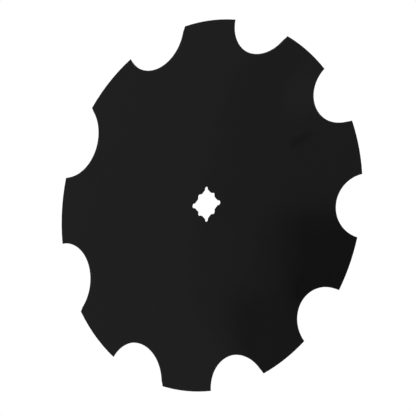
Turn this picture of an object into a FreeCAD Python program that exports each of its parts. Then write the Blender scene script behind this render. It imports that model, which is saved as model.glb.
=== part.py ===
import FreeCAD, Part
import Sketcher
import math
import os
import sys

V = FreeCAD.Vector

# Notched harrow disc blade, millimetres.
#
# The blade is one piece of plate, dished to part of a sphere, with nine round
# notches punched in its rim and a star-shaped axle hole punched in its centre.
# Frame: the disc's axis is +Z and passes through the middle of the axle hole.
# The hollow (concave) face is up, and the back of the dish touches z = 0 at
# its lowest, around the hole.  A tooth is centred on -Y and a notch on +Y, so
# the YZ plane mirrors the blade onto itself.

DIMENSIONS = [
    # name, value, what it is
    ("disc_diameter", 457.2, "over the tips of the teeth"),
    ("dish_radius", 734.0, "spherical radius of the hollow face"),
    ("plate_thickness", 3.2, "plate, measured square to its face"),
    ("rim_land", 0.8, "height of the blunt edge left round the rim"),
    ("bevel_width", 8.5, "sharpening bevel on the back, along the slope"),
    ("notch_count", 9, "notches, and teeth between them"),
    ("notch_reach", 236.3, "axis of the blade to the middle of a notch, in plan"),
    ("notch_radius", 43.6, "round of a notch, seen along the blade's axis"),
    ("notch_break", 0.4, "rounding of the notch edges"),
    ("large_square", 30.16, "1 1/8 in axle square, with its clearance"),
    ("small_square", 27.0, "1 in axle square, with its clearance"),
    ("small_corner", 2.7, "rounding of the small square's corners"),
    ("relief_reach", 19.2, "axis to the middle of a corner relief"),
    ("relief_radius", 3.1, "round of a corner relief"),
    ("hole_nose", 1.6, "rounding where the two squares cross"),
    ("hole_break", 0.35, "rounding of the hole's edges"),
]

doc = FreeCAD.newDocument("harrow_disc_blade")

sheet = doc.addObject("Spreadsheet::Sheet", "sizes")
for row, (name, value, note) in enumerate(DIMENSIONS, start=1):
    sheet.set("A%d" % row, name)
    sheet.set("B%d" % row, str(value))
    sheet.set("C%d" % row, note)
    sheet.setAlias("B%d" % row, name)
doc.recompute()

SIZE = {name: value for name, value, note in DIMENSIONS}


def cell(name):
    return "sizes." + name


def origin_feature(body, role):
    for feature in body.Origin.OriginFeatures:
        if feature.Role == role:
            return feature
    raise RuntimeError("no origin feature " + role)


def bind(sketch, index, name, expression):
    sketch.renameConstraint(index, name)
    sketch.setExpression("Constraints." + name, expression)


def recompute_and_test():
    doc.recompute()
    for obj in doc.Objects:
        bad = [s for s in obj.State if s in ("Invalid", "Error")]
        if bad:
            sys.exit("%s is %s" % (obj.Name, bad))


def must_shrink(feature, before):
    after = feature.Shape.Volume
    if not after < before - 1e-3:
        sys.exit("%s took nothing away" % feature.Name)
    return after


body = doc.addObject("PartDesign::Body", "disc_blade_body")
body.Label = "disc_blade"
body.Placement = FreeCAD.Placement(V(0, 0, 0), FreeCAD.Rotation(0, 0, 0))

R_RIM = "(" + cell("disc_diameter") + " / 2)"
R_DISH = cell("dish_radius")
THICK = cell("plate_thickness")

# ---------------------------------------------------------------- dished plate
# Half section through the axis: the hollow face, the blunt edge, the bevel
# ground on the back, the back of the plate and the axis.  It is drawn through
# the middle of the tooth at 30 degrees.
rim = SIZE["disc_diameter"] / 2.0
dish = SIZE["dish_radius"]
thick = SIZE["plate_thickness"]
land = SIZE["rim_land"]
bevel = SIZE["bevel_width"]

centre = V(0, dish + thick, 0)
rim_angle = math.asin(rim / dish)
rim_z = centre.y - dish * math.cos(rim_angle)
outer = dish + thick
heel_angle = math.asin(rim / outer) - bevel / outer
heel = V(outer * math.sin(heel_angle), centre.y - outer * math.cos(heel_angle), 0)

section = body.newObject("Sketcher::SketchObject", "half_section")
section.AttachmentSupport = [(origin_feature(body, "XZ_Plane"), "")]
section.MapMode = "FlatFace"
section.AttachmentOffset = FreeCAD.Placement(
    V(0, 0, 0), FreeCAD.Rotation(V(0, 1, 0), 30))
down = -math.pi / 2
face = section.addGeometry(Part.ArcOfCircle(
    Part.Circle(centre, V(0, 0, 1), dish), down, down + rim_angle), False)
edge = section.addGeometry(Part.LineSegment(
    V(rim, rim_z, 0), V(rim, rim_z - land, 0)), False)
slope = section.addGeometry(Part.LineSegment(
    V(rim, rim_z - land, 0), heel), False)
back = section.addGeometry(Part.ArcOfCircle(
    Part.Circle(centre, V(0, 0, 1), outer), down, down + heel_angle), False)
axis = section.addGeometry(Part.LineSegment(V(0, 0, 0), V(0, thick, 0)), False)

section.addConstraint(Sketcher.Constraint("Coincident", axis, 1, -1, 1))
section.addConstraint(Sketcher.Constraint("Vertical", axis))
section.addConstraint(Sketcher.Constraint("Coincident", axis, 2, face, 1))
section.addConstraint(Sketcher.Constraint("Coincident", face, 2, edge, 1))
section.addConstraint(Sketcher.Constraint("Vertical", edge))
section.addConstraint(Sketcher.Constraint("Coincident", edge, 2, slope, 1))
section.addConstraint(Sketcher.Constraint("Coincident", slope, 2, back, 2))
section.addConstraint(Sketcher.Constraint("Coincident", back, 1, axis, 1))
section.addConstraint(Sketcher.Constraint("Coincident", face, 3, back, 3))
section.addConstraint(Sketcher.Constraint("PointOnObject", face, 3, -2))
bind(section, section.addConstraint(
    Sketcher.Constraint("Radius", face, dish)), "face_radius", R_DISH)
bind(section, section.addConstraint(
    Sketcher.Constraint("Distance", axis, thick)), "thickness", THICK)
bind(section, section.addConstraint(
    Sketcher.Constraint("DistanceX", -1, 1, face, 2, rim)), "rim", R_RIM)
bind(section, section.addConstraint(
    Sketcher.Constraint("Distance", edge, land)), "land", cell("rim_land"))
bind(section, section.addConstraint(
    Sketcher.Constraint("Distance", slope, bevel)), "bevel", cell("bevel_width"))

plate = body.newObject("PartDesign::Revolution", "dished_plate")
plate.Profile = section
plate.ReferenceAxis = (section, ["V_Axis"])
plate.Angle = 360
recompute_and_test()
volume = plate.Shape.Volume

# --------------------------------------------------------------------- notches
# One notch is punched square to the dish, on a plane that touches the sphere
# of the hollow face over the notch's middle.  Its outline is an ellipse there,
# which looks round along the blade's axis.  The other eight repeat it.
reach = SIZE["notch_reach"]
round_ = SIZE["notch_radius"]
lean = math.asin(reach / dish)
LEAN = "asin(%s / %s)" % (cell("notch_reach"), R_DISH)

notch_sketch = body.newObject("Sketcher::SketchObject", "notch_outline")
notch_sketch.AttachmentSupport = [(origin_feature(body, "XY_Plane"), "")]
notch_sketch.MapMode = "FlatFace"
notch_sketch.AttachmentOffset = FreeCAD.Placement(
    V(0, reach, centre.y - dish * math.cos(lean)),
    FreeCAD.Rotation(V(1, 0, 0), math.degrees(lean)))
notch_sketch.setExpression("AttachmentOffset.Base.y", cell("notch_reach"))
notch_sketch.setExpression(
    "AttachmentOffset.Base.z",
    "%s + %s * (1 - cos(%s))" % (THICK, R_DISH, LEAN))
notch_sketch.setExpression("AttachmentOffset.Rotation.Angle", LEAN)
tall = round_ / math.cos(lean)
oval = notch_sketch.addGeometry(
    Part.Ellipse(V(0, tall, 0), V(-round_, 0, 0), V(0, 0, 0)), False)
notch_sketch.exposeInternalGeometry(oval)
# the two lines that the ellipse exposes are its long and its short diameter
diameters = [i for i in range(notch_sketch.GeometryCount)
             if isinstance(notch_sketch.Geometry[i], Part.LineSegment)]
long_line, short_line = sorted(
    diameters, key=lambda i: -notch_sketch.Geometry[i].length())
notch_sketch.addConstraint(Sketcher.Constraint("Coincident", oval, 3, -1, 1))
notch_sketch.addConstraint(Sketcher.Constraint("Vertical", long_line))
bind(notch_sketch, notch_sketch.addConstraint(
    Sketcher.Constraint("Distance", short_line, 2 * round_)), "across",
    "2 * " + cell("notch_radius"))
bind(notch_sketch, notch_sketch.addConstraint(
    Sketcher.Constraint("Distance", long_line, 2 * tall)), "along",
    "2 * %s / cos(%s)" % (cell("notch_radius"), LEAN))

notch = body.newObject("PartDesign::Pocket", "notch")
notch.Profile = notch_sketch
notch.Type = "Length"
notch.SideType = "Symmetric"
notch.Length = 80
recompute_and_test()
volume = must_shrink(notch, volume)

notches = body.newObject("PartDesign::PolarPattern", "notches")
notches.Originals = [notch]
notches.Axis = (origin_feature(body, "Z_Axis"), [""])
notches.Angle = 360
notches.Occurrences = SIZE["notch_count"]
notches.setExpression("Occurrences", cell("notch_count"))
body.Tip = notches
recompute_and_test()
volume = must_shrink(notches, volume)


# ------------------------------------------------------------------- axle hole
def square_sketch(name, size_name, turned):
    """A square on the axis, its sides along X and Y, or turned by 45 degrees."""
    half = SIZE[size_name] / 2.0
    sketch = body.newObject("Sketcher::SketchObject", name)
    sketch.AttachmentSupport = [(origin_feature(body, "XY_Plane"), "")]
    sketch.MapMode = "FlatFace"
    if turned:
        sketch.AttachmentOffset = FreeCAD.Placement(
            V(0, 0, 0), FreeCAD.Rotation(V(0, 0, 1), 45))
    corner = [V(-half, -half, 0), V(half, -half, 0),
              V(half, half, 0), V(-half, half, 0)]
    line = [sketch.addGeometry(
        Part.LineSegment(corner[i], corner[(i + 1) % 4]), False)
        for i in range(4)]
    for i in range(4):
        sketch.addConstraint(Sketcher.Constraint(
            "Coincident", line[i], 2, line[(i + 1) % 4], 1))
    for i in (0, 2):
        sketch.addConstraint(Sketcher.Constraint("Horizontal", line[i]))
    for i in (1, 3):
        sketch.addConstraint(Sketcher.Constraint("Vertical", line[i]))
    sketch.addConstraint(Sketcher.Constraint(
        "Symmetric", line[0], 1, line[2], 1, -1, 1))
    bind(sketch, sketch.addConstraint(Sketcher.Constraint(
        "DistanceX", line[0], 1, line[0], 2, 2 * half)), "across_x",
        cell(size_name))
    bind(sketch, sketch.addConstraint(Sketcher.Constraint(
        "DistanceY", line[1], 1, line[1], 2, 2 * half)), "across_y",
        cell(size_name))
    return sketch


def pocket_up(name, sketch):
    """A cut from the XY plane upward, right through the plate."""
    pocket = body.newObject("PartDesign::Pocket", name)
    pocket.Profile = sketch
    pocket.Type = "ThroughAll"
    pocket.Reversed = True
    return pocket


# The square for the thicker axle: sides along X and Y.
large = pocket_up("large_square_hole",
                  square_sketch("large_square_outline", "large_square", False))
recompute_and_test()
volume = must_shrink(large, volume)

# Round reliefs in its four corners, which make the star's long points.
relief_sketch = body.newObject("Sketcher::SketchObject", "relief_outline")
relief_sketch.AttachmentSupport = [(origin_feature(body, "XY_Plane"), "")]
relief_sketch.MapMode = "FlatFace"
relief_sketch.AttachmentOffset = FreeCAD.Placement(
    V(0, 0, 0), FreeCAD.Rotation(V(0, 0, 1), 45))
ring = relief_sketch.addGeometry(Part.Circle(
    V(SIZE["relief_reach"], 0, 0), V(0, 0, 1), SIZE["relief_radius"]), False)
relief_sketch.addConstraint(Sketcher.Constraint("PointOnObject", ring, 3, -1))
bind(relief_sketch, relief_sketch.addConstraint(Sketcher.Constraint(
    "DistanceX", -1, 1, ring, 3, SIZE["relief_reach"])), "reach",
    cell("relief_reach"))
bind(relief_sketch, relief_sketch.addConstraint(Sketcher.Constraint(
    "Radius", ring, SIZE["relief_radius"])), "relief", cell("relief_radius"))
relief = pocket_up("corner_relief", relief_sketch)
recompute_and_test()
volume = must_shrink(relief, volume)

reliefs = body.newObject("PartDesign::PolarPattern", "corner_reliefs")
reliefs.Originals = [relief]
reliefs.Axis = (origin_feature(body, "Z_Axis"), [""])
reliefs.Angle = 360
reliefs.Occurrences = 4
body.Tip = reliefs
recompute_and_test()
volume = must_shrink(reliefs, volume)

# The square for the thinner axle, turned by 45 degrees, which makes the
# star's short points on X and Y.
small = pocket_up("small_square_hole",
                  square_sketch("small_square_outline", "small_square", True))
recompute_and_test()
volume = must_shrink(small, volume)


# ---------------------------------------------------------------- edge breaks
def upright_edges(shape, wanted):
    """Names of the straight edges along Z whose plan point passes the test."""
    names = []
    for i, e in enumerate(shape.Edges, start=1):
        a, b = e.Vertexes[0].Point, e.Vertexes[-1].Point
        if abs(a.x - b.x) > 1e-4 or abs(a.y - b.y) > 1e-4 or abs(a.z - b.z) < 1:
            continue
        if wanted(a.x, a.y):
            names.append("Edge%d" % i)
    return names


def on_short_point(x, y):
    r = math.hypot(x, y)
    return abs(min(abs(x), abs(y))) < 0.01 and r > SIZE["small_square"] / 2.0


tips = upright_edges(small.Shape, on_short_point)
corners = body.newObject("PartDesign::Fillet", "small_square_corners")
corners.Base = (small, tips)
corners.Radius = SIZE["small_corner"]
corners.setExpression("Radius", cell("small_corner"))
body.Tip = corners
recompute_and_test()

noses = upright_edges(
    corners.Shape,
    lambda x, y: abs(max(abs(x), abs(y)) - SIZE["large_square"] / 2.0) < 0.01
    and math.hypot(x, y) < 17.0)
crossing = body.newObject("PartDesign::Fillet", "square_crossings")
crossing.Base = (corners, noses)
crossing.Radius = SIZE["hole_nose"]
crossing.setExpression("Radius", cell("hole_nose"))
body.Tip = crossing
recompute_and_test()
if len(tips) != 4 or len(noses) != 8:
    sys.exit("the star has %d tips and %d crossings" % (len(tips), len(noses)))

def face_edges(shape, reach_from, reach_to):
    """Names of the edges that bound the hollow face or the back of the dish,
    where their middle is between two distances from the axis."""
    names = []
    for i, e in enumerate(shape.Edges, start=1):
        if e.Degenerated:
            continue
        m = e.valueAt((e.FirstParameter + e.LastParameter) / 2.0)
        r = math.hypot(m.x, m.y)
        if not reach_from < r < reach_to:
            continue
        on_face = abs(m.z - (centre.y - math.sqrt(dish ** 2 - r ** 2))) < 0.02
        on_back = abs(m.z - (centre.y - math.sqrt(outer ** 2 - r ** 2))) < 0.02
        if on_face or on_back:
            names.append("Edge%d" % i)
    return names


# Punching and the coat of paint leave no sharp edge at the hole or in the
# notches; the rim keeps its cutting edge.
volume = crossing.Shape.Volume
hole_edges = body.newObject("PartDesign::Fillet", "hole_edges")
hole_edges.Base = (crossing, face_edges(crossing.Shape, 0.0, 30.0))
hole_edges.Radius = SIZE["hole_break"]
hole_edges.setExpression("Radius", cell("hole_break"))
body.Tip = hole_edges
recompute_and_test()
volume = must_shrink(hole_edges, volume)

rim_start = rim - bevel * math.cos(rim_angle) - 0.5
notch_edges = body.newObject("PartDesign::Fillet", "notch_edges")
notch_edges.Base = (hole_edges, face_edges(hole_edges.Shape, 30.0, rim_start))
notch_edges.Radius = SIZE["notch_break"]
notch_edges.setExpression("Radius", cell("notch_break"))
body.Tip = notch_edges
recompute_and_test()
volume = must_shrink(notch_edges, volume)

# ------------------------------------------------------------------- in place
# The blade lies on its back: the lowest ring of the metal, round the axle
# hole, is at z = 0.
below = Part.makePlane(600, 600, V(-300, -300, -10))
lowest = notch_edges.Shape.distToShape(below)[0] - 10
body.Placement = FreeCAD.Placement(V(0, 0, -lowest), FreeCAD.Rotation(0, 0, 0))
recompute_and_test()
shape = body.Shape
if shape.isNull() or not shape.isValid() or len(shape.Solids) != 1:
    sys.exit("the blade is not one valid solid")

for sketch in doc.findObjects("Sketcher::SketchObject"):
    if sketch.solve() != 0 or not sketch.FullyConstrained:
        sys.exit("%s isn't fully constrained" % sketch.Name)

box = shape.optimalBoundingBox(False, False)
print("blade: %d solid, %d faces, volume %.1f mm3, mass %.3f kg" % (
    len(shape.Solids), len(shape.Faces), shape.Volume, shape.Volume * 7.85e-6))
print("hole : %.2f over the large square, rests %.3f above the sphere's foot"
      % (SIZE["large_square"], lowest))
print("box  : X %.2f..%.2f  Y %.2f..%.2f  Z %.3f..%.3f" % (
    box.XMin, box.XMax, box.YMin, box.YMax, box.ZMin, box.ZMax))

os.makedirs("parts", exist_ok=True)
body.Shape.exportStep(os.path.join("parts", body.Label + ".step"))
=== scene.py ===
import math

import bpy
from mathutils import Matrix, Vector

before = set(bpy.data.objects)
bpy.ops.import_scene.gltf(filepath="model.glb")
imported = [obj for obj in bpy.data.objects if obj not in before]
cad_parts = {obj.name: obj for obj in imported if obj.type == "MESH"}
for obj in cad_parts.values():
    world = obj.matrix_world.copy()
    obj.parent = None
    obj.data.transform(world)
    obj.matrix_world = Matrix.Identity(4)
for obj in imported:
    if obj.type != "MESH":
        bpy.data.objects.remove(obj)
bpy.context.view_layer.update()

scene = bpy.context.scene
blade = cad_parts["disc_blade"]

# The blade's shape in metres, for the details that follow it.
DISH_RADIUS = 0.734        # of the hollow face, a part of a sphere
PLATE = 0.0032             # thickness
FOOT = 0.003025            # height of the hollow face at the axis
BEVEL_FROM = 0.2201        # radius where the back's bevel starts


# ------------------------------------------------------------ node helpers
def new_material(name):
    mat = bpy.data.materials.new(name)
    mat.use_nodes = True
    tree = mat.node_tree
    tree.nodes.clear()
    return mat, tree


def add(tree, kind, **settings):
    node = tree.nodes.new(kind)
    for key, value in settings.items():
        setattr(node, key, value)
    return node


def feed(tree, socket, source):
    """Links a node's output to a socket, or writes a plain value into it."""
    if isinstance(source, bpy.types.NodeSocket):
        tree.links.new(source, socket)
    else:
        socket.default_value = source


def maths(tree, operation, a, b=None, c=None, clamp=False):
    node = add(tree, "ShaderNodeMath", operation=operation, use_clamp=clamp)
    for socket, source in zip(node.inputs, (a, b, c)):
        if source is not None:
            feed(tree, socket, source)
    return node.outputs[0]


def total(tree, first, *rest):
    for value in rest:
        first = maths(tree, "ADD", first, value)
    return first


def product(tree, first, *rest):
    for value in rest:
        first = maths(tree, "MULTIPLY", first, value)
    return first


def less(tree, value, amount):
    """1 - value * amount, a factor that dims by amount where value is 1."""
    return maths(tree, "MULTIPLY_ADD", value, -amount, 1.0)


def vector(tree, x, y, z):
    node = add(tree, "ShaderNodeCombineXYZ")
    for socket, source in zip(node.inputs, (x, y, z)):
        feed(tree, socket, source)
    return node.outputs[0]


def noise(tree, where, scale, detail=2.0, rough=0.5, seed=0.0):
    node = add(tree, "ShaderNodeTexNoise", noise_dimensions="4D")
    feed(tree, node.inputs["Vector"], where)
    node.inputs["W"].default_value = seed
    node.inputs["Scale"].default_value = scale
    node.inputs["Detail"].default_value = detail
    node.inputs["Roughness"].default_value = rough
    return node.outputs["Fac"]


def spread(tree, value, low, high, to_low, to_high, kind="SMOOTHSTEP"):
    node = add(tree, "ShaderNodeMapRange", interpolation_type=kind)
    feed(tree, node.inputs["Value"], value)
    for name, v in (("From Min", low), ("From Max", high),
                    ("To Min", to_low), ("To Max", to_high)):
        feed(tree, node.inputs[name], v)
    return node.outputs["Result"]


# --------------------------------------------------------------- black paint
# Satin black paint on hot-pressed plate.  Lengths are metres on the part.
def black_paint():
    mat, t = new_material("black_paint")
    coords = add(t, "ShaderNodeTexCoord")
    where = coords.outputs["Object"]
    shader = add(t, "ShaderNodeBsdfPrincipled")
    out = add(t, "ShaderNodeOutputMaterial")
    t.links.new(shader.outputs["BSDF"], out.inputs["Surface"])

    split = add(t, "ShaderNodeSeparateXYZ")
    t.links.new(where, split.inputs[0])
    x, y, z = split.outputs
    lean = add(t, "ShaderNodeSeparateXYZ")
    t.links.new(coords.outputs["Normal"], lean.inputs[0])
    tilt = maths(t, "ABSOLUTE", lean.outputs["Z"])

    # places on the part
    radius = maths(t, "SQRT", total(t, product(t, x, x), product(t, y, y)))
    rise = maths(t, "SUBTRACT", DISH_RADIUS + FOOT, z)
    out_by = maths(t, "SUBTRACT", maths(t, "SQRT", total(
        t, product(t, radius, radius), product(t, rise, rise))), DISH_RADIUS)
    depth = maths(t, "DIVIDE", out_by, PLATE)          # 0 hollow face, 1 back
    cut = spread(t, tilt, 0.45, 0.62, 1.0, 0.0)        # punched walls
    ground = product(t, spread(t, radius, BEVEL_FROM - 0.0004,
                               BEVEL_FROM + 0.0004, 0.0, 1.0),
                     spread(t, lean.outputs["Z"], -0.60, -0.70, 0.0, 1.0))

    # patterns, from the largest to the smallest
    cloud = noise(t, where, 9.0, 3.0, 0.55, 1.0)       # hand-wide cloudiness
    wave = noise(t, where, 24.0, 1.0, 0.4, 5.0)        # the press's soft waves
    drain = total(t, product(t, x, 0.775), product(t, y, 0.632))
    level = total(t, product(t, x, -0.632), product(t, y, 0.775))
    flow = noise(t, vector(t, product(t, drain, 0.18), level, z),
                 120.0, 2.0, 0.5, 9.0)                 # paint that ran off wet
    mottle = noise(t, where, 70.0, 3.0, 0.6, 2.0)      # finger-wide mottling
    stain = noise(t, where, 150.0, 1.0, 0.5, 10.0)     # faint handling marks
    peel = noise(t, where, 430.0, 2.0, 0.45, 3.0)      # orange peel
    speck = noise(t, where, 620.0, 0.0, 0.5, 4.0)      # rare dust nibs
    grain = noise(t, where, 1500.0, 1.0, 0.5, 6.0)     # blasted steel below
    nib = spread(t, speck, 0.77, 0.82, 0.0, 1.0)
    mark = spread(t, stain, 0.66, 0.78, 0.0, 1.0)

    # a rub of drier paint on the far side of the hollow
    along = total(t, product(t, maths(t, "SUBTRACT", x, -0.148), 0.94),
                  product(t, maths(t, "SUBTRACT", y, 0.045), -0.34))
    across = total(t, product(t, maths(t, "SUBTRACT", x, -0.148), 0.34),
                   product(t, maths(t, "SUBTRACT", y, 0.045), 0.94))
    far = maths(t, "SQRT", total(
        t, product(t, along, along, 1.0 / 0.014 ** 2),
        product(t, across, across, 1.0 / 0.006 ** 2)))
    ragged = total(t, far, spread(t, mottle, 0.2, 0.8, -0.5, 0.5, "LINEAR"))
    rub = product(t, spread(t, ragged, 0.3, 1.5, 1.0, 0.0),
                  spread(t, lean.outputs["Z"], 0.0, 0.5, 0.0, 1.0))

    # colour: almost black, a little uneven, greyer where spray fell dry
    tone = total(t, product(t, cloud, 0.55), product(t, mottle, 0.45))
    ramp = add(t, "ShaderNodeValToRGB")
    ramp.color_ramp.elements[0].position = 0.30
    ramp.color_ramp.elements[0].color = (0.0092, 0.0092, 0.0092, 1)
    ramp.color_ramp.elements[1].position = 0.70
    ramp.color_ramp.elements[1].color = (0.0135, 0.0135, 0.0135, 1)
    t.links.new(tone, ramp.inputs["Fac"])
    shade = add(t, "ShaderNodeMix", data_type="RGBA", blend_type="MULTIPLY")
    shade.inputs["Factor"].default_value = 1.0
    t.links.new(ramp.outputs["Color"], shade.inputs["A"])
    dim = product(t, less(t, rub, 0.75), less(t, nib, 0.20),
                  less(t, mark, 0.22), less(t, cut, -0.25))
    t.links.new(vector(t, dim, dim, dim), shade.inputs["B"])
    t.links.new(shade.outputs["Result"], shader.inputs["Base Color"])

    # gloss: satin, drier in the rub, on the punched walls and on the bevel
    rough = total(t, spread(t, tone, 0.30, 0.70, 0.118, 0.150, "LINEAR"),
                  spread(t, flow, 0.3, 0.7, -0.012, 0.012, "LINEAR"),
                  spread(t, grain, 0.3, 0.7, -0.008, 0.008, "LINEAR"),
                  product(t, rub, 0.06), product(t, cut, 0.16),
                  product(t, ground, 0.06), product(t, nib, 0.08),
                  product(t, mark, 0.03))
    t.links.new(rough, shader.inputs["Roughness"])
    shader.inputs["IOR"].default_value = 1.5
    shader.inputs["Metallic"].default_value = 0.0

    # relief, in millionths of a metre
    turn = maths(t, "ARCTAN2", y, x)
    # the bevel's grinding lines run round the rim
    lines = noise(t, vector(t, radius, product(t, turn, 0.004), 0.0),
                  1500.0, 3.0, 0.65, 7.0)
    # punched walls: sheared smooth by the hollow face, then torn down the plate
    torn = noise(t, vector(t, x, y, product(t, z, 0.08)), 1700.0, 3.0, 0.6, 8.0)
    ripped = spread(t, total(t, depth, spread(
        t, mottle, 0.2, 0.8, -0.2, 0.2, "LINEAR")), 0.30, 0.45, 0.25, 1.0)
    face = less(t, cut, 1.0)
    height = total(
        t, product(t, wave, 40.0, face), product(t, flow, 6.0, face),
        product(t, mottle, 10.0), product(t, peel, 9.0),
        product(t, grain, 1.4), product(t, nib, 9.0),
        product(t, lines, ground, 16.0), product(t, torn, ripped, cut, 34.0))
    bump = add(t, "ShaderNodeBump")
    bump.inputs["Strength"].default_value = 1.0
    bump.inputs["Distance"].default_value = 0.000001
    t.links.new(height, bump.inputs["Height"])
    t.links.new(bump.outputs["Normal"], shader.inputs["Normal"])
    return mat


paint = black_paint()
for slot in blade.material_slots:
    plain, slot.material = slot.material, paint
    if plain and not plain.users:
        bpy.data.materials.remove(plain)
paint.name = "black_paint"


# --------------------------------------------------------------------- stage
def glow(name, strength):
    mat, t = new_material(name)
    lamp = add(t, "ShaderNodeEmission")
    lamp.inputs["Strength"].default_value = strength
    out = add(t, "ShaderNodeOutputMaterial")
    t.links.new(lamp.outputs[0], out.inputs["Surface"])
    return mat


def floor_white():
    """White to the camera.  The part mirrors it as dim beneath itself, where
    it keeps the light off, and paler further out."""
    mat, t = new_material("floor_white")
    split = add(t, "ShaderNodeSeparateXYZ")
    t.links.new(add(t, "ShaderNodeTexCoord").outputs["Object"], split.inputs[0])
    x, y, z = split.outputs
    out_by = maths(t, "SQRT", total(t, product(t, x, x), product(t, y, y)))
    # painted shadow: the glow that the part mirrors is dimmed beneath the part, standing in for
    # its shade there, and paler further out
    painted_shade_glow = spread(t, out_by, 0.05, 0.75, 0.05, 0.75)
    ray = add(t, "ShaderNodeLightPath").outputs["Is Camera Ray"]
    lamp = add(t, "ShaderNodeEmission")
    t.links.new(total(t, product(t, painted_shade_glow, less(t, ray, 1.0)),
                      product(t, ray, 1.02)), lamp.inputs["Strength"])
    out = add(t, "ShaderNodeOutputMaterial")
    t.links.new(lamp.outputs[0], out.inputs["Surface"])
    return mat


def disc_mesh(name, radius, steps=96):
    mesh = bpy.data.meshes.new(name)
    verts = [(radius * math.cos(2 * math.pi * i / steps),
              radius * math.sin(2 * math.pi * i / steps), 0.0)
             for i in range(steps)]
    mesh.from_pydata(verts, [], [tuple(range(steps))])
    return mesh


floor = bpy.data.objects.new("floor", disc_mesh("floor", 14.0))
scene.collection.objects.link(floor)
floor.data.materials.append(floor_white())

bpy.ops.mesh.primitive_uv_sphere_add(segments=48, ring_count=24, radius=14.2)
dome = bpy.context.object
dome.name = "backdrop"
dome.data.materials.append(glow("backdrop_white", 1.02))
for ray in ("diffuse", "glossy", "transmission", "volume_scatter", "shadow"):
    setattr(dome, "visible_" + ray, False)


# --------------------------------------------------------------------- light
# A soft studio of pale walls.  The part mirrors a panel's edge across its
# middle, a dark gap of the ceiling and a beam beside it.
def surround():
    world = bpy.data.worlds.new("studio")
    scene.world = world
    world.use_nodes = True
    t = world.node_tree
    t.nodes.clear()
    look = add(t, "ShaderNodeTexCoord").outputs["Generated"]
    back = add(t, "ShaderNodeBackground")
    out = add(t, "ShaderNodeOutputWorld")
    t.links.new(back.outputs[0], out.inputs["Surface"])
    split = add(t, "ShaderNodeSeparateXYZ")
    t.links.new(look, split.inputs[0])
    up = split.outputs["Z"]

    def towards(direction):
        node = add(t, "ShaderNodeVectorMath", operation="DOT_PRODUCT")
        t.links.new(look, node.inputs[0])
        node.inputs[1].default_value = Vector(direction).normalized()
        return node.outputs["Value"]

    def side(normal, width, shift=0.0):
        """1 on the side of a plane that its normal points to, 0 on the other,
        with a soft border that reaches width degrees each way, shift degrees
        along the normal."""
        reach = math.sin(math.radians(width))
        middle = math.sin(math.radians(shift))
        return spread(t, towards(normal), middle - reach, middle + reach,
                      0.0, 1.0)

    def spot(direction, inner, outer):
        """1 within inner degrees of a direction, 0 beyond outer."""
        return spread(t, towards(direction), math.cos(math.radians(outer)),
                      math.cos(math.radians(inner)), 0.0, 1.0)

    wall = total(t, spread(t, up, 0.4, 0.8, 0.214, 0.251, "LINEAR"),
                 spread(t, up, 0.05, 0.34, 0.16, 0.0),
                 product(t, spot((0.400, -0.700, 0.592), 4.0, 38.0), 0.85))
    panel = product(t, side((0.4691, -0.6218, 0.6272), 0.5),
                    side((0.8630, 0.0674, 0.5008), 0.5))
    fall = side((0.7117, -0.5225, 0.4695), 11.8)
    above = product(t, side((-0.7555, -0.6472, 0.1016), 1.5, 0.5),
                    spot((-0.09, 0.09, 0.99), 20.0, 30.0))
    gap = product(t, above, side((0.7125, -0.6169, 0.3343), 5.9, -5.0))
    core = product(t, above, side((0.7125, -0.6169, 0.3343), 3.5, -0.2))
    beam = product(t, side((0.6799, -0.4972, 0.5390), 0.5), side((-0.7539, -0.6503, -0.0938), 0.6),
                   spot((-0.403, 0.212, 0.890), 14.0, 22.0),
                   less(t, gap, 1.0))
    corner = spot((-0.2761, 0.1829, 0.9436), 0.5, 1.9)
    lamp = spot((0.0296, 0.5116, 0.8587), 1.0, 5.0)
    level = product(t, wall, less(t, panel, 0.13), less(t, fall, 0.106),
                    less(t, gap, 0.263), less(t, core, 0.47),
                    less(t, beam, 0.44), less(t, corner, 0.95),
                    less(t, lamp, -0.35))
    back.inputs["Color"].default_value = (1, 1, 1, 1)
    t.links.new(level, back.inputs["Strength"])
    return world


surround()

scene.view_settings.view_transform = "Standard"
scene.view_settings.look = "None"
scene.view_settings.exposure = 0.0
scene.view_settings.gamma = 1.0

# -------------------------------------------------------------------- camera
cam_data = bpy.data.cameras.new("camera")
cam = bpy.data.objects.new("camera", cam_data)
scene.collection.objects.link(cam)
right = Vector((-0.56594697, 0.57377709, 0.59201679))
up = Vector((-0.76887317, -0.62649451, -0.12782282))
back = Vector((0.29755346, -0.52752676, 0.79572448))
spot = Vector((0.49004658, -0.86038699, 1.30717815))
cam.matrix_world = Matrix((
    (right.x, up.x, back.x, spot.x),
    (right.y, up.y, back.y, spot.y),
    (right.z, up.z, back.z, spot.z),
    (0, 0, 0, 1)))
cam_data.sensor_fit = "HORIZONTAL"
cam_data.sensor_width = 36.0
cam_data.lens = 113.87386
cam_data.clip_start = 0.01
cam_data.clip_end = 100.0
scene.camera = cam
